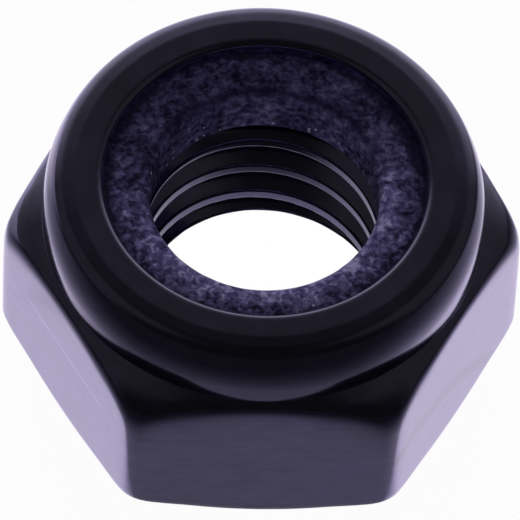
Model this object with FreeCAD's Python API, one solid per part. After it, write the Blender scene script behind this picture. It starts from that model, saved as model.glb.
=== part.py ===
import FreeCAD, Part
import math
import os

# Insert lock nut: axis on Z, bearing face at z = 0, two corners on X.
# Sizes are in millimetres and degrees.

# Hexagon, sized by the thread as spanners are
sides = 6
thread_size = 6.0
flats_per_thread = 5 / 3
across_flats = thread_size * flats_per_thread
corner_round = 0.40         # rolled corners of the drawn bar
chamfer_angle = 30.0        # above and below, from the bearing plane
bearing_step = 0.50         # from a flat in to the edge of the bearing face
bearing_radius = across_flats / 2 - bearing_step
corner_radius = (across_flats / 2 - corner_round) / math.cos(math.pi / sides) + corner_round
corner_crown = 0.65         # forged corners fall away over this from the upper chamfer

# Thread, right-hand
thread_pitch = 1.0
thread_depth = 0.43 * thread_pitch
root_flat = thread_pitch / 8
flank_angle = 30.0          # each flank from the cross-section plane
thread_phase = 0.57         # height of a crest's middle straight behind the axis
root_radius = thread_size / 2
crest_radius = root_radius - thread_depth
mouth_angle = 45.0
mouth_radius = root_radius + 0.45
relief_radius = root_radius + 0.05

# Heights, from the top down
height = 6.0
lip_thickness = 0.50
lip_fall = 0.10             # drop of the lip's top towards its nose
ring_thickness = 1.22
flat_rise = 0.12            # middle of a flat's upper edge above the seat
barrel_rise = 0.65          # top of the collar's upright part above the seat
lip_under = height - lip_thickness
seat_height = lip_under - ring_thickness
flat_top = seat_height + flat_rise

# Collar rolled over the ring
collar_step = 0.16          # from a flat in to the collar
collar_wall = 0.79
lip_overhang = 0.51
barrel_round = 2.05         # the side curves in above its upright part
barrel_turn = 25.0          # degrees it has turned where the tighter shoulder begins
collar_radius = across_flats / 2 - collar_step
barrel_height = seat_height + barrel_rise
seat_radius = collar_radius - collar_wall
lip_radius = seat_radius - lip_overhang

# Ring, clamped face to face between the seat and the lip
seat_clearance = 0.0
ring_bite = 0.50            # the hole is this much inside the thread's root
ring_hole = root_radius - ring_bite
ring_edge = 0.40            # soft inner top edge
ring_foot_edge = 0.10

origin = FreeCAD.Vector(0, 0, 0)
up = FreeCAD.Vector(0, 0, 1)


def at(radius, z):
    return FreeCAD.Vector(radius, 0, z)


def line(start, end):
    return Part.makeLine(start, end)


def arc(start, middle, end):
    return Part.Arc(start, middle, end).toShape()


def turn(centre, radius, first, last):
    # Arc between two directions, in degrees up from the outward radius
    ends = []
    for angle in (first, (first + last) / 2, last):
        lean = math.radians(angle)
        ends.append(centre + at(math.cos(lean), math.sin(lean)) * radius)
    return arc(*ends)


def turned(edges):
    return Part.Face(Part.Wire(edges)).revolve(origin, up, 360)


def chamfer_outline():
    # Bearing face, lower bevel, upright past the corners, crowned upper bevel
    slope = math.tan(math.radians(chamfer_angle))
    bottom = at(bearing_radius, 0)
    foot = at(collar_radius, flat_top + collar_step * slope)
    low = at(corner_radius, (corner_radius - bottom.x) * slope)
    crown_x = corner_radius - corner_crown
    crown_top = turn(at(crown_x, 0), corner_crown, 0, 90 - chamfer_angle)
    reach = crown_top.Vertexes[1].Point
    crown_z = foot.z - (reach.x - foot.x) * slope - reach.z
    crown_top.translate(up * crown_z)
    edges = [
        line(at(0, 0), bottom),
        line(bottom, low),
        line(low, at(corner_radius, crown_z)),
        crown_top,
        line(reach + up * crown_z, foot),
    ]
    return edges, foot


def collar_outline(foot):
    # Up the upright side, round the barrel and shoulder, in along the lip, down to the seat
    wide = at(collar_radius, barrel_height)
    barrel = turn(wide - at(barrel_round, 0), barrel_round, 0, barrel_turn)
    tip = barrel.Vertexes[1].Point
    lean = math.radians(barrel_turn)
    shoulder_round = (height - tip.z) / (1 - math.sin(lean))
    shoulder = tip - at(math.cos(lean), math.sin(lean)) * shoulder_round
    nose_high = height - lip_fall
    nose = (nose_high - lip_under) / 2
    nose_centre = at(lip_radius + nose, lip_under + nose)
    seat_top = at(seat_radius, lip_under)
    seat_corner = at(seat_radius, seat_height)
    seat_middle = at(0, seat_height)
    return [
        line(foot, wide),
        barrel,
        turn(shoulder, shoulder_round, barrel_turn, 90),
        line(at(shoulder.x, height), at(nose_centre.x, nose_high)),
        turn(nose_centre, nose, 90, 270),
        line(at(nose_centre.x, lip_under), seat_top),
        line(seat_top, seat_corner),
        line(seat_corner, seat_middle),
        line(seat_middle, at(0, 0)),
    ]


def hexagon_bar():
    corner = across_flats / 2 / math.cos(math.pi / sides)
    points = []
    for k in range(sides + 1):
        turn = 2 * math.pi * k / sides
        points.append(FreeCAD.Vector(corner * math.cos(turn), corner * math.sin(turn), 0))
    bar = Part.Face(Part.makePolygon(points)).extrude(up * height)
    uprights = [e for e in bar.Edges if e.BoundBox.ZLength > height / 2]
    return bar.makeFillet(corner_round, uprights)


def thread_groove():
    # From below the bearing face to above the seat, so both ends run out
    inner = crest_radius - thread_pitch / 4
    half_root = root_flat / 2
    half_mouth = half_root + (root_radius - inner) * math.tan(math.radians(flank_angle))
    helix = Part.makeHelix(thread_pitch, seat_height + 2 * thread_pitch, root_radius)
    section = Part.makePolygon([
        at(root_radius, -half_root),
        at(root_radius, half_root),
        at(inner, half_mouth),
        at(inner, -half_mouth),
        at(root_radius, -half_root),
    ])
    groove = Part.Wire(helix.Edges).makePipeShell([section], True, True)
    # The helix starts on X, a quarter turn before the stated crest
    start = (thread_phase + thread_pitch / 4) % thread_pitch
    groove.translate(up * (start - thread_pitch))
    return groove


def countersinks():
    depth = (mouth_radius - crest_radius) / math.tan(math.radians(mouth_angle))
    mouth = Part.makeCone(mouth_radius, crest_radius, depth, origin, up)
    rise = relief_radius - crest_radius
    top = Part.makeCone(crest_radius, relief_radius, rise, at(0, seat_height - rise), up)
    return [mouth, top]


def nut_body():
    edges, foot = chamfer_outline()
    body = hexagon_bar().common(turned(edges + collar_outline(foot)))
    # The groove goes first, while both its flanks still meet plain material
    body = body.cut(thread_groove())
    body = body.cut(Part.makeCylinder(crest_radius, height, at(0, -0.5)))
    return body.cut(countersinks()).Solids[0]


def locking_ring():
    outer = seat_radius - seat_clearance
    edge = at(ring_hole + ring_edge, lip_under - ring_edge)
    foot = at(ring_hole, seat_height + ring_foot_edge)
    foot_out = at(ring_hole + ring_foot_edge, seat_height)
    return turned([
        line(foot, at(ring_hole, edge.z)),
        turn(edge, ring_edge, 180, 90),
        line(at(edge.x, lip_under), at(outer, lip_under)),
        line(at(outer, lip_under), at(outer, seat_height)),
        line(at(outer, seat_height), foot_out),
        line(foot_out, foot),
    ])


os.makedirs("parts", exist_ok=True)
nut_body().exportStep("parts/nut_body.step")
locking_ring().exportStep("parts/locking_ring.step")
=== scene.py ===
import math
from functools import partial

import bmesh
import bpy
from mathutils import Matrix, Vector


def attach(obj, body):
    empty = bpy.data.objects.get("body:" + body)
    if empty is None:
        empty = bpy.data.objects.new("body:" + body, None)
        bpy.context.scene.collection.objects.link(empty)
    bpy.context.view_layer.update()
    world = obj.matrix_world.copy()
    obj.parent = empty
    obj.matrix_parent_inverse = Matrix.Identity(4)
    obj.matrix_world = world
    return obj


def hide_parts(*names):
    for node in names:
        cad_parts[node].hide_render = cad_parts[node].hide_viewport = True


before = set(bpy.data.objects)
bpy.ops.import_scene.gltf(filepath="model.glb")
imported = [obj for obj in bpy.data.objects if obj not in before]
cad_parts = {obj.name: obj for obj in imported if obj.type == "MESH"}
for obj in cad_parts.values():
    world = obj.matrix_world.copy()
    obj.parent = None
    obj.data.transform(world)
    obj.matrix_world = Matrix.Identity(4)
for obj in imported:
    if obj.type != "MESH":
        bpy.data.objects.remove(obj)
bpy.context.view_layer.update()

millimetre = 0.001
roundStep = 7.5    # degrees that a rounding turns from one row to the next
sameSpot = 0.001   # points closer than this are one, mm


def linearColour(hexText):
    # sRGB hex to the linear colour that the shader sockets take
    parts = [int(hexText[i:i + 2], 16) / 255 for i in (1, 3, 5)]
    curve = [p / 12.92 if p <= 0.04045 else ((p + 0.055) / 1.055) ** 2.4 for p in parts]
    return (*curve, 1.0)


def addNode(tree, kind, *given, **settings):
    # one node: its inputs in order, or by name in a dictionary, as sockets, nodes or plain values
    # a kind in capitals is a Math node's operation
    if kind.isupper():
        settings["operation"] = kind
        kind = "ShaderNodeMath"
    node = tree.nodes.new(kind)
    for name, value in settings.items():
        setattr(node, name, value)
    for place, value in enumerate(given):
        inputs = value if isinstance(value, dict) else {place: value}
        for key, origin in inputs.items():
            socket = node.inputs[key]
            if isinstance(origin, bpy.types.Node):
                origin = origin.outputs[0]
            if isinstance(origin, bpy.types.NodeSocket):
                tree.links.new(origin, socket)
            else:
                socket.default_value = origin
    return node


# camera: where the photograph was taken from, in millimetres and degrees
cameraSetup = {
    "elevation": 56.054,
    "turn": -2.730,       # round the nut, from straight in front of a flat
    "roll": 3.007,
    "distance": 223.09,
    "lookAt": (-0.0236, 0.0, 2.7701),
    "lens": 701.63,
    "nearest": 0.01,      # what it sees, in metres
    "farthest": 5.0,
}


def makeCamera(setup):
    tilt = math.radians(setup["elevation"])
    roll = math.radians(setup["roll"])
    back = Vector((0, -math.cos(tilt), math.sin(tilt)))
    side = Vector((1, 0, 0))
    rise = back.cross(side)
    right = side * math.cos(roll) + rise * math.sin(roll)
    upward = rise * math.cos(roll) - side * math.sin(roll)
    place = Vector(setup["lookAt"]) + back * setup["distance"]
    pose = Matrix((right, upward, back)).transposed().to_4x4()
    pose.translation = place * millimetre
    data = bpy.data.cameras.new("photoCamera")
    data.lens = setup["lens"]
    data.clip_start = setup["nearest"]
    data.clip_end = setup["farthest"]
    camera = bpy.data.objects.new("photoCamera", data)
    bpy.context.scene.collection.objects.link(camera)
    camera.matrix_world = Matrix.Rotation(math.radians(setup["turn"]), 4, "Z") @ pose
    bpy.context.scene.camera = camera


makeCamera(cameraSetup)
bpy.context.scene.view_settings.view_transform = "Standard"
print("camera placed")


# nut body: the sizes of the turned blank, the hexagon and the thread, in millimetres and degrees
bodySizes = {
    "acrossFlats": 10.0,
    "cornerRound": 0.40,   # radius of the rolled corners
    "cornerFall": 0.60,    # the same at the chamfer, where the forging didn't fill
    "fallSpan": (2.5, 4.2),  # heights over which the one becomes the other
    "bearingRadius": 4.50,
    "bearingEdge": 0.08,
    "chamferAngle": 30.0,
    "cornerRadius": 5.7116,
    "lowEdge": 0.30,       # rounding between the lower bevel and the corners
    "cornerCrown": 1.15,   # the same at the upper bevel
    "flatTop": 4.40,
    "footFillet": 0.015,
    "collarRadius": 4.84,
    "barrelHeight": 4.93,
    "barrelRound": 2.05,
    "barrelTurn": 25.0,
    "height": 6.0,
    "lipCrown": 0.025,     # the lip's top falls this much to the shoulder
    "lipRun": 0.20,        # the fall starts this far inside the shoulder
    "lipRound": 0.80,
    "noseFall": 0.005,
    "noseEdge": 0.14,
    "noseUnder": 0.17,
    "lipUnder": 5.50,
    "lipRadius": 3.54,
    "seatRadius": 4.05,
    "seatHeight": 4.28,
    "seatRows": (3.6, 3.2),  # radii of the rows between seat and bore
    "mouthRadius": 3.45,
    "reliefRadius": 3.17,
    "crestRadius": 2.57,
    "rootRadius": 3.0,
    "pitch": 1.0,
    "rootFlat": 0.24,
    "crestHeight": 0.57,   # middle of a crest straight behind the axis
    "boreStep": 0.029,     # between the bore's rows
    "flatEdge": 0.50,      # softness of the edge between flat and chamfer
    "cornerEdge": 0.22,    # the same at the corners
    "edgeSpan": (2.0, 14.0),  # degrees from a corner over which it changes
    "crestEdge": 0.05,     # softness of the rolled crests
    "threadEdge": 0.05,    # the same at the roots and mouths
    "sides": 6,
    "columns": [(2.4, 6), (10, 7), (30, 11)],  # out from each corner: how far, and how many columns
}


def softLoop(corners):
    # closed outline through corners (radius, height, round, step, rule), each corner rounded
    outline = []
    count = len(corners)
    cuts = []
    for i in range(count):
        here = Vector(corners[i][:2])
        before = (Vector(corners[i - 1][:2]) - here).normalized()
        after = (Vector(corners[(i + 1) % count][:2]) - here).normalized()
        turn = math.pi - before.angle(after)
        reach = corners[i][2] * math.tan(turn / 2)
        cuts.append((here, before, after, turn, reach))
    for i in range(count):
        here, before, after, turn, reach = cuts[i]
        rounding, step, rule = corners[i][2:]
        if rounding > 0:
            start = here + before * reach
            towards = (before + after).normalized()
            centre = here + towards * (rounding / math.cos(turn / 2))
            first = start - centre
            sense = 1 if first.x * before.y - first.y * before.x < 0 else -1
            parts = max(3, math.ceil(math.degrees(turn) / roundStep))
            for k in range(parts + 1):
                swing = sense * turn * k / parts
                spun = Vector((first.x * math.cos(swing) - first.y * math.sin(swing),
                               first.x * math.sin(swing) + first.y * math.cos(swing)))
                outline.append((centre.x + spun.x, centre.y + spun.y, rule))
        else:
            outline.append((here.x, here.y, rule))
        following = cuts[(i + 1) % count]
        begin = here + after * reach
        end = following[0] + following[1] * following[4]
        length = (end - begin).length
        parts = max(1, round(length / step))
        for k in range(1, parts):
            spot = begin.lerp(end, k / parts)
            outline.append((spot.x, spot.y, rule))
    # where one rounding starts right at the end of another, the doubled point goes
    return [row for i, row in enumerate(outline)
            if math.dist(row[:2], outline[i - 1][:2]) > sameSpot]


def bodyOutline(s):
    # rule 1 rows are cut by the hexagon, rule 2 rows by the thread, rule 0 rows stay turned
    slope = math.tan(math.radians(s["chamferAngle"]))
    half = s["acrossFlats"] / 2
    footHeight = s["flatTop"] + (half - s["collarRadius"]) * slope
    lowHeight = (s["cornerRadius"] - s["bearingRadius"]) * slope
    crownHeight = footHeight - (s["cornerRadius"] - s["collarRadius"]) * slope
    lean = math.radians(s["barrelTurn"])
    barrelReach = s["barrelRound"] * math.tan(lean / 2)
    barrelCorner = s["barrelHeight"] + barrelReach
    tipHeight = barrelCorner + barrelReach * math.cos(lean)
    tipRadius = s["collarRadius"] - barrelReach * math.sin(lean)
    shoulderReach = (s["height"] - s["lipCrown"] - tipHeight) / math.cos(lean)
    shoulderRound = shoulderReach / math.tan(math.radians(45) - lean / 2)
    topRadius = tipRadius - shoulderReach * math.sin(lean)
    lipStart = topRadius - shoulderReach - s["lipRun"]
    # radius, height, rounding, distance between rows after it, rule
    outline = softLoop([
        (s["bearingRadius"], 0, s["bearingEdge"], 0.10, 1),
        (s["cornerRadius"], lowHeight, s["lowEdge"], 0.09, 1),
        (s["cornerRadius"], crownHeight, s["cornerCrown"], 0.04, 1),
        (s["collarRadius"], footHeight, s["footFillet"], 0.05, 0),
        (s["collarRadius"], barrelCorner, s["barrelRound"], 0.06, 0),
        (topRadius, s["height"] - s["lipCrown"], shoulderRound, 0.06, 0),
        (lipStart, s["height"], s["lipRound"], 0.05, 0),
        (s["lipRadius"], s["height"] - s["noseFall"], s["noseEdge"], 0.05, 0),
        (s["lipRadius"], s["lipUnder"], s["noseUnder"], 0.15, 0),
        (s["seatRadius"], s["lipUnder"], 0, 0.4, 0),
        (s["seatRadius"], s["seatHeight"], 0, 0.3, 0),
    ])
    # the last corner's run goes to the bore, so what softLoop drew back to the start is dropped
    corner = (s["seatRadius"], s["seatHeight"])
    seatEnd = max(i for i, row in enumerate(outline) if math.dist(row[:2], corner) < sameSpot)
    outline = outline[:seatEnd + 1]
    outline += [(radius, s["seatHeight"], 0) for radius in s["seatRows"]]
    rows = math.ceil(s["seatHeight"] / s["boreStep"])
    outline += [(s["crestRadius"], s["seatHeight"] * (1 - k / rows), 2) for k in range(rows + 1)]
    face = s["bearingRadius"] - s["mouthRadius"]
    outline += [(s["mouthRadius"] + face * k, 0, 0) for k in (0.25, 0.5, 0.75)]
    return outline


def sectorAngles(sides, runs):
    # columns round the axis, closest at the hexagon's corners
    half = [0.0]
    for end, count in runs:
        start = half[-1]
        half += [start + (end - start) * (i + 1) / count for i in range(count)]
    sector = 360 / sides
    offsets = half[:-1] + [sector - a for a in reversed(half[1:])]
    return [math.radians(k * sector + a) for k in range(sides) for a in offsets]


def ringMesh(name, outline, angles):
    # a closed outline carried round the axis; the rows keep their rule as an attribute
    mesh = bpy.data.meshes.new(name)
    points = [(r * math.cos(a) * millimetre, r * math.sin(a) * millimetre, z * millimetre)
              for a in angles for r, z, _ in outline]
    rows = len(outline)
    count = len(angles)
    faces = []
    for i in range(count):
        j = (i + 1) % count
        for k in range(rows):
            m = (k + 1) % rows
            faces.append((i * rows + k, j * rows + k, j * rows + m, i * rows + m))
    mesh.from_pydata(points, [], faces)
    mesh.attributes.new("rule", "FLOAT", "POINT").data.foreach_set(
        "value", [float(row[2]) for _ in angles for row in outline])
    return mesh


def groupTree(name, sizes):
    # an empty Geometry Nodes tree with named inputs, and its group input node
    tree = bpy.data.node_groups.new(name, "GeometryNodeTree")
    sockets = tree.interface
    sockets.new_socket("Geometry", in_out="INPUT", socket_type="NodeSocketGeometry")
    for label in sizes:
        sockets.new_socket(label, in_out="INPUT", socket_type="NodeSocketFloat")
    sockets.new_socket("Finish", in_out="INPUT", socket_type="NodeSocketMaterial")
    sockets.new_socket("Geometry", in_out="OUTPUT", socket_type="NodeSocketGeometry")
    return tree, addNode(tree, "NodeGroupInput")


def applyTree(mesh, tree, sizes, finish, name):
    # runs the tree on the mesh and keeps the result as a plain mesh
    blank = bpy.data.objects.new(mesh.name, mesh)
    bpy.context.scene.collection.objects.link(blank)
    modifier = blank.modifiers.new("rule", "NODES")
    modifier.node_group = tree
    for socket in tree.interface.items_tree:
        if socket.item_type == "SOCKET" and socket.in_out == "INPUT":
            if socket.name in sizes:
                modifier[socket.identifier] = float(sizes[socket.name])
            if socket.name == "Finish":
                modifier[socket.identifier] = finish
    graph = bpy.context.evaluated_depsgraph_get()
    made = bpy.data.meshes.new_from_object(blank.evaluated_get(graph))
    blank.modifiers.remove(modifier)
    bpy.data.objects.remove(blank)
    made.name = name
    work = bmesh.new()
    work.from_mesh(made)
    bmesh.ops.recalc_face_normals(work, faces=work.faces)
    work.to_mesh(made)
    work.free()
    made.shade_smooth()
    piece = bpy.data.objects.new(name, made)
    bpy.context.scene.collection.objects.link(piece)
    return piece


def endTree(tree, given, shaped):
    # what every tree ends in: real geometry with its finish
    real = addNode(tree, "GeometryNodeRealizeInstances", shaped)
    finish = {"Geometry": real, "Material": given.outputs["Finish"]}
    dressed = addNode(tree, "GeometryNodeSetMaterial", finish)
    addNode(tree, "NodeGroupOutput", dressed)


def hexThreadTree(s):
    labels = {
        "Half flats": s["acrossFlats"] / 2,
        "Corner round": s["cornerRound"],
        "Corner fall": s["cornerFall"],
        "Fall first": s["fallSpan"][0],
        "Fall last": s["fallSpan"][1],
        "Flat edge": s["flatEdge"],
        "Corner edge": s["cornerEdge"],
        "Edge first": math.radians(s["edgeSpan"][0]),
        "Edge last": math.radians(s["edgeSpan"][1]),
        "Pitch": s["pitch"],
        "Crest height": s["crestHeight"],
        "Crest radius": s["crestRadius"],
        "Root radius": s["rootRadius"],
        "Half root flat": s["rootFlat"] / 2,
        "Mouth radius": s["mouthRadius"],
        "Relief radius": s["reliefRadius"],
        "Seat height": s["seatHeight"],
        "Crest edge": s["crestEdge"],
        "Thread edge": s["threadEdge"],
    }
    tree, given = groupTree("hexagonAndThread", labels)
    add = partial(addNode, tree)
    size = given.outputs

    place = add("GeometryNodeInputPosition")
    inMillimetres = add("ShaderNodeVectorMath", place, {"Scale": 1 / millimetre}, operation="SCALE")
    x, y, height = add("ShaderNodeSeparateXYZ", inMillimetres).outputs
    angle = add("ARCTAN2", y, x)
    radius = add("SQRT", add("ADD", add("MULTIPLY", x, x), add("MULTIPLY", y, y)))
    rule = add("GeometryNodeInputNamedAttribute", {"Name": "rule"}, data_type="FLOAT")

    # hexagon: a flat's line away from the corners, an arc round each corner
    sector = 2 * math.pi / s["sides"]
    half = sector / 2
    sectors = add("DIVIDE", add("SUBTRACT", angle, half), sector)
    offFlat = add("MULTIPLY", add("PINGPONG", sectors, 0.5), sector)
    offCorner = add("SUBTRACT", half, offFlat)
    flatLine = add("DIVIDE", size["Half flats"], add("COSINE", offFlat))
    rounding = add("ShaderNodeMapRange", height, size["Fall first"], size["Fall last"],
                   size["Corner round"], size["Corner fall"], interpolation_type="SMOOTHSTEP")
    centre = add("DIVIDE", add("SUBTRACT", size["Half flats"], rounding), math.cos(half))
    aside = add("MULTIPLY", centre, add("SINE", offCorner))
    chord = add("SUBTRACT", add("MULTIPLY", rounding, rounding), add("MULTIPLY", aside, aside))
    outwards = add("SQRT", add("MAXIMUM", chord, 0.0))
    cornerArc = add("ADD", add("MULTIPLY", centre, add("COSINE", offCorner)), outwards)
    arcEnd = add("ARCTAN2", add("MULTIPLY", rounding, math.sin(half)),
                 add("ADD", centre, add("MULTIPLY", rounding, math.cos(half))))
    onArc = add("LESS_THAN", offCorner, arcEnd)
    hexagon = add("ShaderNodeMix", {"Factor": onArc, "A": flatLine, "B": cornerArc})
    softness = add("ShaderNodeMapRange", offCorner, size["Edge first"], size["Edge last"],
                   size["Corner edge"], size["Flat edge"], interpolation_type="SMOOTHSTEP")
    cut = add("SMOOTH_MIN", radius, hexagon, softness)

    # thread: how far a point is along the axis from the middle of the nearest groove
    turns = add("DIVIDE", add("SUBTRACT", angle, math.pi / 2), 2 * math.pi)
    rise = add("DIVIDE", add("SUBTRACT", height, size["Crest height"]), size["Pitch"])
    offCrest = add("PINGPONG", add("SUBTRACT", rise, turns), 0.5)
    offGroove = add("MULTIPLY", add("SUBTRACT", 0.5, offCrest), size["Pitch"])
    offRoot = add("SUBTRACT", offGroove, size["Half root flat"])
    upFlank = add("SMOOTH_MAX", offRoot, 0.0, size["Thread edge"])
    groove = add("SUBTRACT", size["Root radius"], add("MULTIPLY", upFlank, math.sqrt(3)))
    thread = add("SMOOTH_MAX", groove, size["Crest radius"], size["Crest edge"])
    mouth = add("SUBTRACT", size["Mouth radius"], height)
    relief = add("SUBTRACT", size["Relief radius"], add("SUBTRACT", size["Seat height"], height))
    opened = add("SMOOTH_MAX", thread, mouth, size["Thread edge"])
    bore = add("SMOOTH_MAX", opened, relief, size["Thread edge"])

    isOuter = add("COMPARE", rule, 1.0, 0.1)
    isBore = add("COMPARE", rule, 2.0, 0.1)
    outer = add("ShaderNodeMix", {"Factor": isOuter, "A": radius, "B": cut})
    finished = add("ShaderNodeMix", {"Factor": isBore, "A": outer, "B": bore})
    reach = add("MULTIPLY", finished, millimetre)
    moved = add("ShaderNodeCombineXYZ", add("MULTIPLY", reach, add("COSINE", angle)),
                add("MULTIPLY", reach, add("SINE", angle)), add("MULTIPLY", height, millimetre))
    shaped = add("GeometryNodeSetPosition", {"Geometry": size["Geometry"], "Position": moved})
    endTree(tree, given, shaped)
    return tree, labels


# black passivated zinc on steel: a dark smoky mirror with a violet cast, under a clear sealer
steelLook = {
    "dark": "#625e7a",
    "violet": "#6c6694",
    "castSize": 2.5,       # patches of cast, mm
    "roughLow": 0.13,
    "roughHigh": 0.24,
    "grainSize": 0.05,     # plating grain, mm, as coarse as it needs to show
    "grainDepth": 0.0006,
    "grainStrength": 0.4,
    "streakSize": 0.16,    # drawing streaks along the flats, mm
    "streakStretch": 4.0,  # their length over their width
    "streakDepth": 0.9,
    "pitFront": -4.6,      # rough pitted edge low on the front flat, before this y
    "pitHeight": (0.45, 0.75),
    "pitLevel": (0.45, 0.60),  # levels of the streaks over which a pit deepens
    "pitDepth": 0.70,
    "flatFace": 4.97,      # a point further out than this is on the flat
    "darkArcFacing": -30.0,    # painted reflection: curved dark line on the right flat
    "darkArcTop": 2.32,
    "darkArcMiddle": -1.7,     # where its top is along the flat
    "darkArcFall": 0.15,
    "darkArcEdge": (0.102, 0.34),  # it fades between these distances from its middle, mm
    "darkArcDepth": 0.38,
    "lineFacing": -150.0,  # painted highlight: pale line along the left flat
    "lineHeight": 2.8,
    "lineWide": 0.11,
    "lineEnds": (1.32, 2.2),  # it fades out over these distances from its middle, mm
    "lineGain": 0.7,
    "sealerIor": 1.8,
    "sealerRough": 0.07,
}


def makeSteel(look):
    material = bpy.data.materials.new("blackZincSteel")
    material.use_nodes = True
    tree = material.node_tree
    shader = tree.nodes["Principled BSDF"]
    add = partial(addNode, tree)
    where = add("ShaderNodeTexCoord").outputs["Object"]
    inMillimetres = add("ShaderNodeVectorMath", where, {"Scale": 1 / millimetre}, operation="SCALE")
    _, y, z = add("ShaderNodeSeparateXYZ", inMillimetres).outputs

    # the cast comes in soft patches, which also vary the gloss
    patches = add("ShaderNodeTexNoise", {
        "Vector": inMillimetres, "Scale": 1 / look["castSize"], "Detail": 3.0}).outputs[0]
    cast = add("ShaderNodeMix", {
        "Factor": patches, "A": linearColour(look["dark"]), "B": linearColour(look["violet"])},
        data_type="RGBA").outputs[2]
    rough = add("ShaderNodeMapRange", patches, {"To Min": look["roughLow"], "To Max": look["roughHigh"]})
    tree.links.new(rough.outputs[0], shader.inputs["Roughness"])

    # streaks left by drawing the bar, and pits where they meet the lower edge
    drawn = add("ShaderNodeVectorMath", inMillimetres, (1, 1, look["streakStretch"]), operation="MULTIPLY")
    streaks = add("ShaderNodeTexNoise", {
        "Vector": drawn, "Scale": 1 / (look["streakSize"] * look["streakStretch"]),
        "Detail": 4.0, "Roughness": 0.6}).outputs[0]
    streaked = add("MULTIPLY", add("SUBTRACT", streaks, 0.5), look["streakDepth"])
    pits = add("ShaderNodeMapRange", streaks, *look["pitLevel"], 0.0, look["pitDepth"],
               interpolation_type="SMOOTHSTEP")
    low = add("ShaderNodeMapRange", z, *look["pitHeight"], 1.0, 0.0, interpolation_type="SMOOTHSTEP")
    pitted = add("MULTIPLY", add("MULTIPLY", low, add("LESS_THAN", y, look["pitFront"])), pits)

    def flatPlace(degrees):
        # for the flat that faces this way: whether a point is on it, and how far along it
        cosine, sine = math.cos(math.radians(degrees)), math.sin(math.radians(degrees))
        out = add("ShaderNodeVectorMath", inMillimetres, (cosine, sine, 0), operation="DOT_PRODUCT")
        along = add("ShaderNodeVectorMath", inMillimetres, (-sine, cosine, 0), operation="DOT_PRODUCT")
        return add("GREATER_THAN", out.outputs["Value"], look["flatFace"]), along.outputs["Value"]

    # painted reflection: a dark curved line darkens the right flat's colour
    onRight, alongRight = flatPlace(look["darkArcFacing"])
    fromMiddle = add("SUBTRACT", alongRight, look["darkArcMiddle"])
    fall = add("MULTIPLY", add("MULTIPLY", fromMiddle, fromMiddle), look["darkArcFall"])
    offDarkArc = add("ABSOLUTE", add("SUBTRACT", z, add("SUBTRACT", look["darkArcTop"], fall)))
    darkArcLevel = add("ShaderNodeMapRange", offDarkArc, *look["darkArcEdge"], look["darkArcDepth"], 0.0,
                  interpolation_type="SMOOTHSTEP")
    darkArc = add("MULTIPLY", darkArcLevel, onRight)

    # painted highlight: a pale line lightens the left flat's colour
    onLeft, alongLeft = flatPlace(look["lineFacing"])
    offLine = add("ABSOLUTE", add("SUBTRACT", z, look["lineHeight"]))
    linePale = add("ShaderNodeMapRange", offLine, 0.0, look["lineWide"], look["lineGain"], 0.0,
                   interpolation_type="SMOOTHSTEP")
    lineEnd = add("ShaderNodeMapRange", add("ABSOLUTE", alongLeft), *look["lineEnds"], 1.0, 0.0,
                  interpolation_type="SMOOTHSTEP")
    line = add("MULTIPLY", add("MULTIPLY", linePale, lineEnd), onLeft)

    lighter = add("ADD", add("ADD", streaked, 1.0), line)
    marks = add("SUBTRACT", add("SUBTRACT", lighter, pitted), darkArc)
    marked = add("ShaderNodeVectorMath", cast, {"Scale": marks}, operation="SCALE")
    tree.links.new(marked.outputs[0], shader.inputs["Base Color"])
    grain = add("ShaderNodeTexNoise", {
        "Vector": inMillimetres, "Scale": 1 / look["grainSize"], "Detail": 2.0})
    bump = add("ShaderNodeBump", {
        "Height": grain, "Strength": look["grainStrength"], "Distance": look["grainDepth"] * millimetre})
    tree.links.new(bump.outputs[0], shader.inputs["Normal"])
    shader.inputs["Metallic"].default_value = 1.0
    shader.inputs["Coat Weight"].default_value = 1.0
    shader.inputs["Coat IOR"].default_value = look["sealerIor"]
    shader.inputs["Coat Roughness"].default_value = look["sealerRough"]
    return material


def makeBody():
    s = bodySizes
    mesh = ringMesh("nutBlank", bodyOutline(s), sectorAngles(s["sides"], s["columns"]))
    tree, labels = hexThreadTree(s)
    piece = applyTree(mesh, tree, labels, makeSteel(steelLook), "collarNutBody")
    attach(piece, "root")
    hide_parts("nut_body")
    print("nut body", len(piece.data.vertices), "points")


makeBody()


# locking ring: sizes in millimetres
ringSizes = {
    "holeRadius": 2.50,
    "outerRadius": 4.05,
    "top": 5.495,
    "bottom": 4.29,
    "innerEdge": 0.25,
    "footEdge": 0.10,
    "lipCover": 3.70,      # hidden under the lip beyond this radius
    "columns": 420,
    "swell": 0.020,        # unevenness of the moulded faces
    "swellSize": 0.30,
    "swellLevel": 0.75,    # the noise hardly gets above this, so the faces sink and don't swell
}
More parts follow.
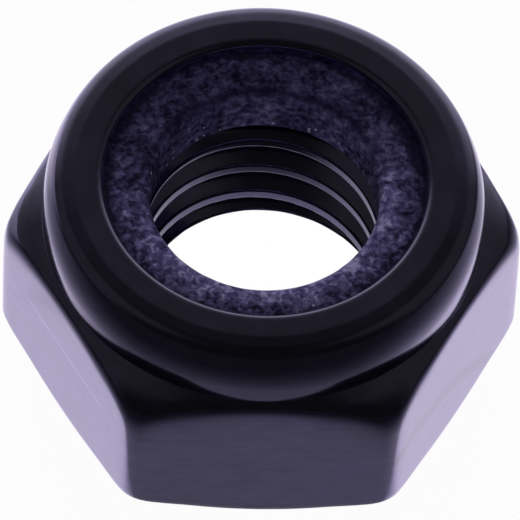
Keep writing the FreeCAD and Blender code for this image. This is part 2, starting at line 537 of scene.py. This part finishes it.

# dyed nylon, moulded and crimped in: matt, mottled, slightly fibrous and torn in specks, with painted light
# paling the hole's edge at the front and painted shade darkening the border under the lip
nylonLook = {
    "tones": [(0.30, "#141122"), (0.42, "#2a2642"), (0.53, "#413c61"),
              (0.65, "#59547c"), (0.80, "#837ea3")],
    "fleckSize": 0.15,     # flecks and pits, mm
    "swirl": 0.5,          # how far the flecks are drawn out into fibres
    "pitDepth": 0.04,
    "pitStrength": 0.7,
    "patchSize": 0.7,      # patches with more or fewer flecks, mm
    "patchLevel": (0.3, 0.7),
    "patchDepth": 0.16,
    "paintedLight": 0.15,       # painted light: how much paler the hole's edge is at the front right
    "paintedLightRadius": (3.20, 2.75),  # none at the first radius, all at the second
    "paintedLightReach": (2.0, -2.8),    # the same from back to front
    "paintedLightTurn": 0.7,             # how much of x counts as front
    "evenBehind": 0.75,    # contrast of the flecks at the back, which is smoother
    "evenReach": (-1.0, 2.5),     # y over which it changes
    "lipShade": "#19172b",  # painted shade: dark border under the lip
    "lipShadeRadius": (3.24, 3.50),
    "lipShadeWander": 0.9,  # how far its edge wanders, mm
    "lipShadeShare": 0.9,
    "spared": 0.21,        # how much narrower it is at the back, mm
    "sparedReach": (1.5, 3.0),
    "holeEdgeDark": "#15132a",  # dark band round the hole's edge at the back
    "holeEdgeRadius": 2.66,
    "holeEdgeWide": 0.19,
    "holeEdgeWander": 0.2,
    "holeEdgeShare": 0.85,
    "holeEdgeHeight": (5.05, 5.25),
    "holeEdgeReach": (0.2, 1.6),
    "speck": "#a9a8c4",    # pale torn specks, most on the hole's wall
    "speckSize": 0.13,
    "speckWide": 0.26,     # share of its cell
    "speckShare": 0.8,
    "speckHeight": (4.5, 4.95),
    "speckRarity": (0.70, 0.99),  # share of the cells without one, over those heights
    "rough": 0.8,
    "shine": 0.08,
}


def makeNylon(look):
    material = bpy.data.materials.new("dyedNylon")
    material.use_nodes = True
    tree = material.node_tree
    shader = tree.nodes["Principled BSDF"]
    add = partial(addNode, tree)
    where = add("ShaderNodeTexCoord").outputs["Object"]
    inMillimetres = add("ShaderNodeVectorMath", where, {"Scale": 1 / millimetre}, operation="SCALE")
    x, y, z = add("ShaderNodeSeparateXYZ", inMillimetres).outputs
    level = add("ShaderNodeVectorMath", inMillimetres, (1, 1, 0), operation="MULTIPLY")
    radius = add("ShaderNodeVectorMath", level, operation="LENGTH").outputs["Value"]

    flecks = add("ShaderNodeTexNoise", {
        "Vector": inMillimetres, "Scale": 1 / look["fleckSize"], "Detail": 2.5,
        "Roughness": 0.5, "Distortion": look["swirl"]}).outputs[0]
    patches = add("ShaderNodeTexNoise", {
        "Vector": inMillimetres, "Scale": 1 / look["patchSize"], "Detail": 2.0}).outputs[0]
    shift = add("ShaderNodeMapRange", patches, *look["patchLevel"],
                -look["patchDepth"] / 2, look["patchDepth"] / 2)
    # painted light: the hole's edge paler towards the front right
    nearHole = add("ShaderNodeMapRange", radius, *look["paintedLightRadius"], interpolation_type="SMOOTHSTEP")
    towardsFront = add("SUBTRACT", y, add("MULTIPLY", x, look["paintedLightTurn"]))
    before = add("ShaderNodeMapRange", towardsFront, *look["paintedLightReach"], 0.0, look["paintedLight"])
    paler = add("MULTIPLY", nearHole, before)
    even = add("ShaderNodeMapRange", y, *look["evenReach"], 1.0, look["evenBehind"])
    evened = add("ADD", add("MULTIPLY", add("SUBTRACT", flecks, 0.5), even), 0.5)
    tones = add("ShaderNodeValToRGB", add("ADD", add("ADD", evened, shift), paler))
    stops = tones.color_ramp.elements
    for i, (place, tone) in enumerate(look["tones"]):
        stop = stops[i] if i < len(stops) else stops.new(place)  # a new ramp has two
        stop.position = place
        stop.color = linearColour(tone)

    # painted shade: a dark border under the lip, narrower at the back
    wander = add("MULTIPLY", add("SUBTRACT", patches, 0.5), look["lipShadeWander"])
    spared = add("ShaderNodeMapRange", y, *look["sparedReach"], 0.0, look["spared"])
    border = add("SUBTRACT", add("ADD", radius, wander), spared)
    lipShade = add("ShaderNodeMapRange", border, *look["lipShadeRadius"], 0.0, look["lipShadeShare"],
                  interpolation_type="SMOOTHSTEP")
    lipShaded = add("ShaderNodeMix", {
        "Factor": lipShade, "A": tones, "B": linearColour(look["lipShade"])},
        data_type="RGBA").outputs[2]

    # a darker band round the hole's edge, at the back and near the top
    bandRadius = add("ADD", radius, add("MULTIPLY", wander, look["holeEdgeWander"]))
    offBand = add("ABSOLUTE", add("SUBTRACT", bandRadius, look["holeEdgeRadius"]))
    band = add("ShaderNodeMapRange", offBand, 0.0, look["holeEdgeWide"], look["holeEdgeShare"], 0.0,
               interpolation_type="SMOOTHSTEP")
    above = add("ShaderNodeMapRange", z, *look["holeEdgeHeight"])
    behind = add("ShaderNodeMapRange", y, *look["holeEdgeReach"])
    darkBanded = add("ShaderNodeMix", {
        "Factor": add("MULTIPLY", band, add("MULTIPLY", above, behind)),
        "A": lipShaded, "B": linearColour(look["holeEdgeDark"])}, data_type="RGBA").outputs[2]

    cells = add("ShaderNodeTexVoronoi", {"Vector": inMillimetres, "Scale": 1 / look["speckSize"]})
    chance = add("ShaderNodeSeparateColor", cells.outputs["Color"]).outputs[0]
    rarity = add("ShaderNodeMapRange", z, *look["speckHeight"], *look["speckRarity"])
    inSpeck = add("LESS_THAN", cells.outputs["Distance"], look["speckWide"])
    torn = add("MULTIPLY", add("GREATER_THAN", chance, rarity), inSpeck)
    specked = add("ShaderNodeMix", {
        "Factor": add("MULTIPLY", torn, look["speckShare"]),
        "A": darkBanded, "B": linearColour(look["speck"])}, data_type="RGBA").outputs[2]
    tree.links.new(specked, shader.inputs["Base Color"])
    bump = add("ShaderNodeBump", {
        "Height": flecks, "Strength": look["pitStrength"], "Distance": look["pitDepth"] * millimetre})
    tree.links.new(bump.outputs[0], shader.inputs["Normal"])
    shader.inputs["Roughness"].default_value = look["rough"]
    shader.inputs["Specular IOR Level"].default_value = look["shine"]
    return material


def ringTree(s):
    labels = {"Swell": s["swell"], "Swell size": s["swellSize"], "Swell level": s["swellLevel"]}
    tree, given = groupTree("scuffedRing", labels)
    add = partial(addNode, tree)
    size = given.outputs
    place = add("GeometryNodeInputPosition")
    inMillimetres = add("ShaderNodeVectorMath", place, {"Scale": 1 / millimetre}, operation="SCALE")
    perSize = add("DIVIDE", 1.0, size["Swell size"])
    lumps = add("ShaderNodeTexNoise", {"Vector": inMillimetres, "Scale": perSize, "Detail": 3.0})
    depth = add("MULTIPLY", add("SUBTRACT", lumps, size["Swell level"]), size["Swell"])
    normal = add("GeometryNodeInputNormal")
    offset = add("ShaderNodeVectorMath", normal, {"Scale": depth}, operation="SCALE")
    inMetres = add("ShaderNodeVectorMath", offset, {"Scale": millimetre}, operation="SCALE")
    shaped = add("GeometryNodeSetPosition", {"Geometry": size["Geometry"], "Offset": inMetres})
    endTree(tree, given, shaped)
    return tree, labels


def makeRing():
    s = ringSizes
    outline = softLoop([
        (s["holeRadius"], s["bottom"], s["footEdge"], 0.04, 0),
        (s["outerRadius"], s["bottom"], 0, 0.3, 0),
        (s["outerRadius"], s["top"], 0, 0.3, 0),
        (s["lipCover"], s["top"], 0, 0.035, 0),
        (s["holeRadius"], s["top"], s["innerEdge"], 0.035, 0),
    ])
    angles = [2 * math.pi * k / s["columns"] for k in range(s["columns"])]
    tree, labels = ringTree(s)
    mesh = ringMesh("ringBlank", outline, angles)
    piece = applyTree(mesh, tree, labels, makeNylon(nylonLook), "nylonRing")
    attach(piece, "root")
    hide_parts("locking_ring")
    print("ring", len(piece.data.vertices), "points")


makeRing()


# stage: a pale floor, soft lamps behind and before, and a surround that is pale low behind, in millimetres
stageSetup = {
    "floorSize": 600.0,
    "floorGap": 0.01,      # between the floor and the bearing face
    "floorColour": "#f4f2f7",
    "glow": 0.96,          # share of the floor's white that the nut's shadow doesn't touch
    # the floor in the metal's reflections, painted light and shadow: white beside and behind the nut, dim
    # before it where the nut's shadow is painted
    "mirrorTint": "#efe6ff",
    "dimFront": 0.26,
    "paleSide": 1.7,
    "sideSpan": (-0.85, 0.5),
    "lean": 10.0,          # degrees to the right that its brighter side is turned
    "reach": 7.3,          # it fades from this radius outwards
    "fade": 1.5,
    "fadePower": 1.2,
    "farLevel": 0.026,
    "paleBehind": 0.9,
    "behindSpan": (0.3, 0.9),
    "besideFront": (-5.7, -4.8),  # white strips beside the nut: they begin over these y,
    "besideInner": (2.7, 3.3),    # over these x on each side,
    "besideOuter": (6.6, 7.8),    # and end over these radii
    "holeRadius": 3.4,     # painted light: under the thread the floor grows paler towards the back of the hole
    "holeSpan": (0.4, 2.0),
    "holeDim": 0.012,
    "holePale": 0.46,
    # the surround in the metal's reflections, by direction
    "skyDim": 0.014,
    "skySide": 0.042,
    "skySideSpan": (0.15, 0.55),
    "skySideFront": (-0.6, -0.2),
    "skyBack": 0.60,
    "skyBackSpan": (0.51, 0.95),
    "skyAbove": 0.007,
    "skyAboveSpan": (0.10, 0.45),
}

lampSetup = {
    "backSoftbox": {"place": (0, 135, 48), "size": (120, 40), "power": 0.20},
    "frontSoftbox": {"place": (0, -110, 90), "size": (90, 50), "power": 0.08},
}


def makeFloor(setup):
    half = setup["floorSize"] / 2 * millimetre
    mesh = bpy.data.meshes.new("floor")
    corners = [(-half, -half, 0), (half, -half, 0), (half, half, 0), (-half, half, 0)]
    mesh.from_pydata(corners, [], [(0, 1, 2, 3)])
    material = bpy.data.materials.new("paleFloor")
    material.use_nodes = True
    tree = material.node_tree
    tree.nodes.remove(tree.nodes["Principled BSDF"])
    add = partial(addNode, tree)
    where = add("ShaderNodeTexCoord").outputs["Object"]
    inMillimetres = add("ShaderNodeVectorMath", where, {"Scale": 1 / millimetre}, operation="SCALE")
    x, y, _ = add("ShaderNodeSeparateXYZ", inMillimetres).outputs
    radius = add("ShaderNodeVectorMath", inMillimetres, operation="LENGTH").outputs["Value"]
    towards = add("ShaderNodeVectorMath", inMillimetres, operation="NORMALIZE")
    leanX, leanY = math.sin(math.radians(setup["lean"])), math.cos(math.radians(setup["lean"]))
    toRight = add("ShaderNodeVectorMath", towards, (leanX, leanY, 0), operation="DOT_PRODUCT")
    toLeft = add("ShaderNodeVectorMath", towards, (-leanX, leanY, 0), operation="DOT_PRODUCT")

    # painted light and shadow: the floor's glow in the metal's reflections, pale beside and behind the nut,
    # dim before it, fading outwards
    beyond = add("DIVIDE", add("MAXIMUM", add("SUBTRACT", radius, setup["reach"]), 0.0), setup["fade"])
    fading = add("DIVIDE", 1.0, add("ADD", 1.0, add("POWER", beyond, setup["fadePower"])))
    paleness = add("ShaderNodeMapRange", toRight.outputs["Value"], *setup["sideSpan"],
                   setup["dimFront"], setup["paleSide"], interpolation_type="SMOOTHSTEP")
    lit = add("MAXIMUM", add("MULTIPLY", paleness, fading), setup["farLevel"])
    around = add("MINIMUM", lit, 1.0)
    behind = add("ShaderNodeMapRange", toLeft.outputs["Value"], *setup["behindSpan"],
                 0.0, setup["paleBehind"], interpolation_type="SMOOTHSTEP")
    stripStart = add("ShaderNodeMapRange", y, *setup["besideFront"], interpolation_type="SMOOTHSTEP")
    stripInner = add("ShaderNodeMapRange", add("ABSOLUTE", x), *setup["besideInner"],
                     interpolation_type="SMOOTHSTEP")
    stripOuter = add("ShaderNodeMapRange", radius, *setup["besideOuter"], 1.0, 0.0,
                     interpolation_type="SMOOTHSTEP")
    beside = add("MULTIPLY", add("MULTIPLY", stripStart, stripInner), stripOuter)
    openFloor = add("MAXIMUM", add("MAXIMUM", around, behind), beside)
    # painted light: the floor under the hole, dim at the front and paler at the back
    hole = add("ShaderNodeMapRange", y, *setup["holeSpan"], setup["holeDim"], setup["holePale"],
               interpolation_type="SMOOTHSTEP")
    inHole = add("LESS_THAN", radius, setup["holeRadius"])
    seen = add("ShaderNodeMix", {"Factor": inHole, "A": openFloor, "B": hole})

    # the camera and glass see a white floor with the nut's shadow, painted out to all white under the hole,
    # and the metal the painted levels worked out above
    ray = add("ShaderNodeLightPath").outputs
    direct = add("MAXIMUM", ray["Is Camera Ray"], ray["Is Transmission Ray"])
    glow = add("ShaderNodeMapRange", inHole, {"To Min": setup["glow"], "To Max": 1.0})
    paint = add("ShaderNodeBsdfDiffuse", linearColour(setup["floorColour"]))
    white = add("ShaderNodeEmission", {"Color": (1, 1, 1, 1)})
    shown = add("ShaderNodeMixShader", add("MULTIPLY", direct, glow), paint, white)
    shine = add("ShaderNodeEmission", {"Color": linearColour(setup["mirrorTint"]), "Strength": seen})
    both = add("ShaderNodeMixShader", ray["Is Glossy Ray"], shown, shine)
    tree.links.new(both.outputs[0], tree.nodes["Material Output"].inputs[0])
    mesh.materials.append(material)
    floor = bpy.data.objects.new("floor", mesh)
    floor.location.z = -setup["floorGap"] * millimetre
    bpy.context.scene.collection.objects.link(floor)


def makeLamp(name, place, size, power):
    # soft lamps light the colours, and the metal's reflections are left to floor and surround
    data = bpy.data.lights.new(name, "AREA")
    data.shape = "RECTANGLE"
    data.size = size[0] * millimetre
    data.size_y = size[1] * millimetre
    data.energy = power
    lamp = bpy.data.objects.new(name, data)
    lamp.location = Vector(place) * millimetre
    lamp.rotation_mode = "QUATERNION"
    aim = Vector((0, 0, bodySizes["height"] / 2)) - Vector(place)
    lamp.rotation_quaternion = aim.to_track_quat("-Z", "Y")
    lamp.visible_glossy = False
    bpy.context.scene.collection.objects.link(lamp)


def makeSurround(setup):
    world = bpy.data.worlds.new("surround")
    bpy.context.scene.world = world
    world.use_nodes = True
    tree = world.node_tree
    add = partial(addNode, tree)
    way = add("ShaderNodeTexCoord").outputs["Generated"]
    x, y, _ = add("ShaderNodeSeparateXYZ", way).outputs
    outwards = add("ShaderNodeMapRange", add("ABSOLUTE", x), *setup["skySideSpan"],
                   interpolation_type="SMOOTHSTEP")
    notFront = add("ShaderNodeMapRange", y, *setup["skySideFront"], 0.0, setup["skySide"],
                   interpolation_type="SMOOTHSTEP")
    sideways = add("MULTIPLY", outwards, notFront)
    back = add("ShaderNodeMapRange", y, *setup["skyBackSpan"], 0.0, setup["skyBack"],
               interpolation_type="SMOOTHSTEP")
    above = add("ShaderNodeMapRange", y, *setup["skyAboveSpan"], 0.0, setup["skyAbove"],
                interpolation_type="SMOOTHSTEP")
    level = add("ADD", add("ADD", add("ADD", sideways, back), above), setup["skyDim"])
    shown = add("MAXIMUM", level, add("ShaderNodeLightPath").outputs["Is Camera Ray"])
    background = tree.nodes["Background"]
    tree.links.new(shown.outputs[0], background.inputs["Strength"])
    background.inputs["Color"].default_value = (1, 1, 1, 1)


makeFloor(stageSetup)
for lampName, lampSizes in lampSetup.items():
    makeLamp(lampName, **lampSizes)
makeSurround(stageSetup)
print("stage set")
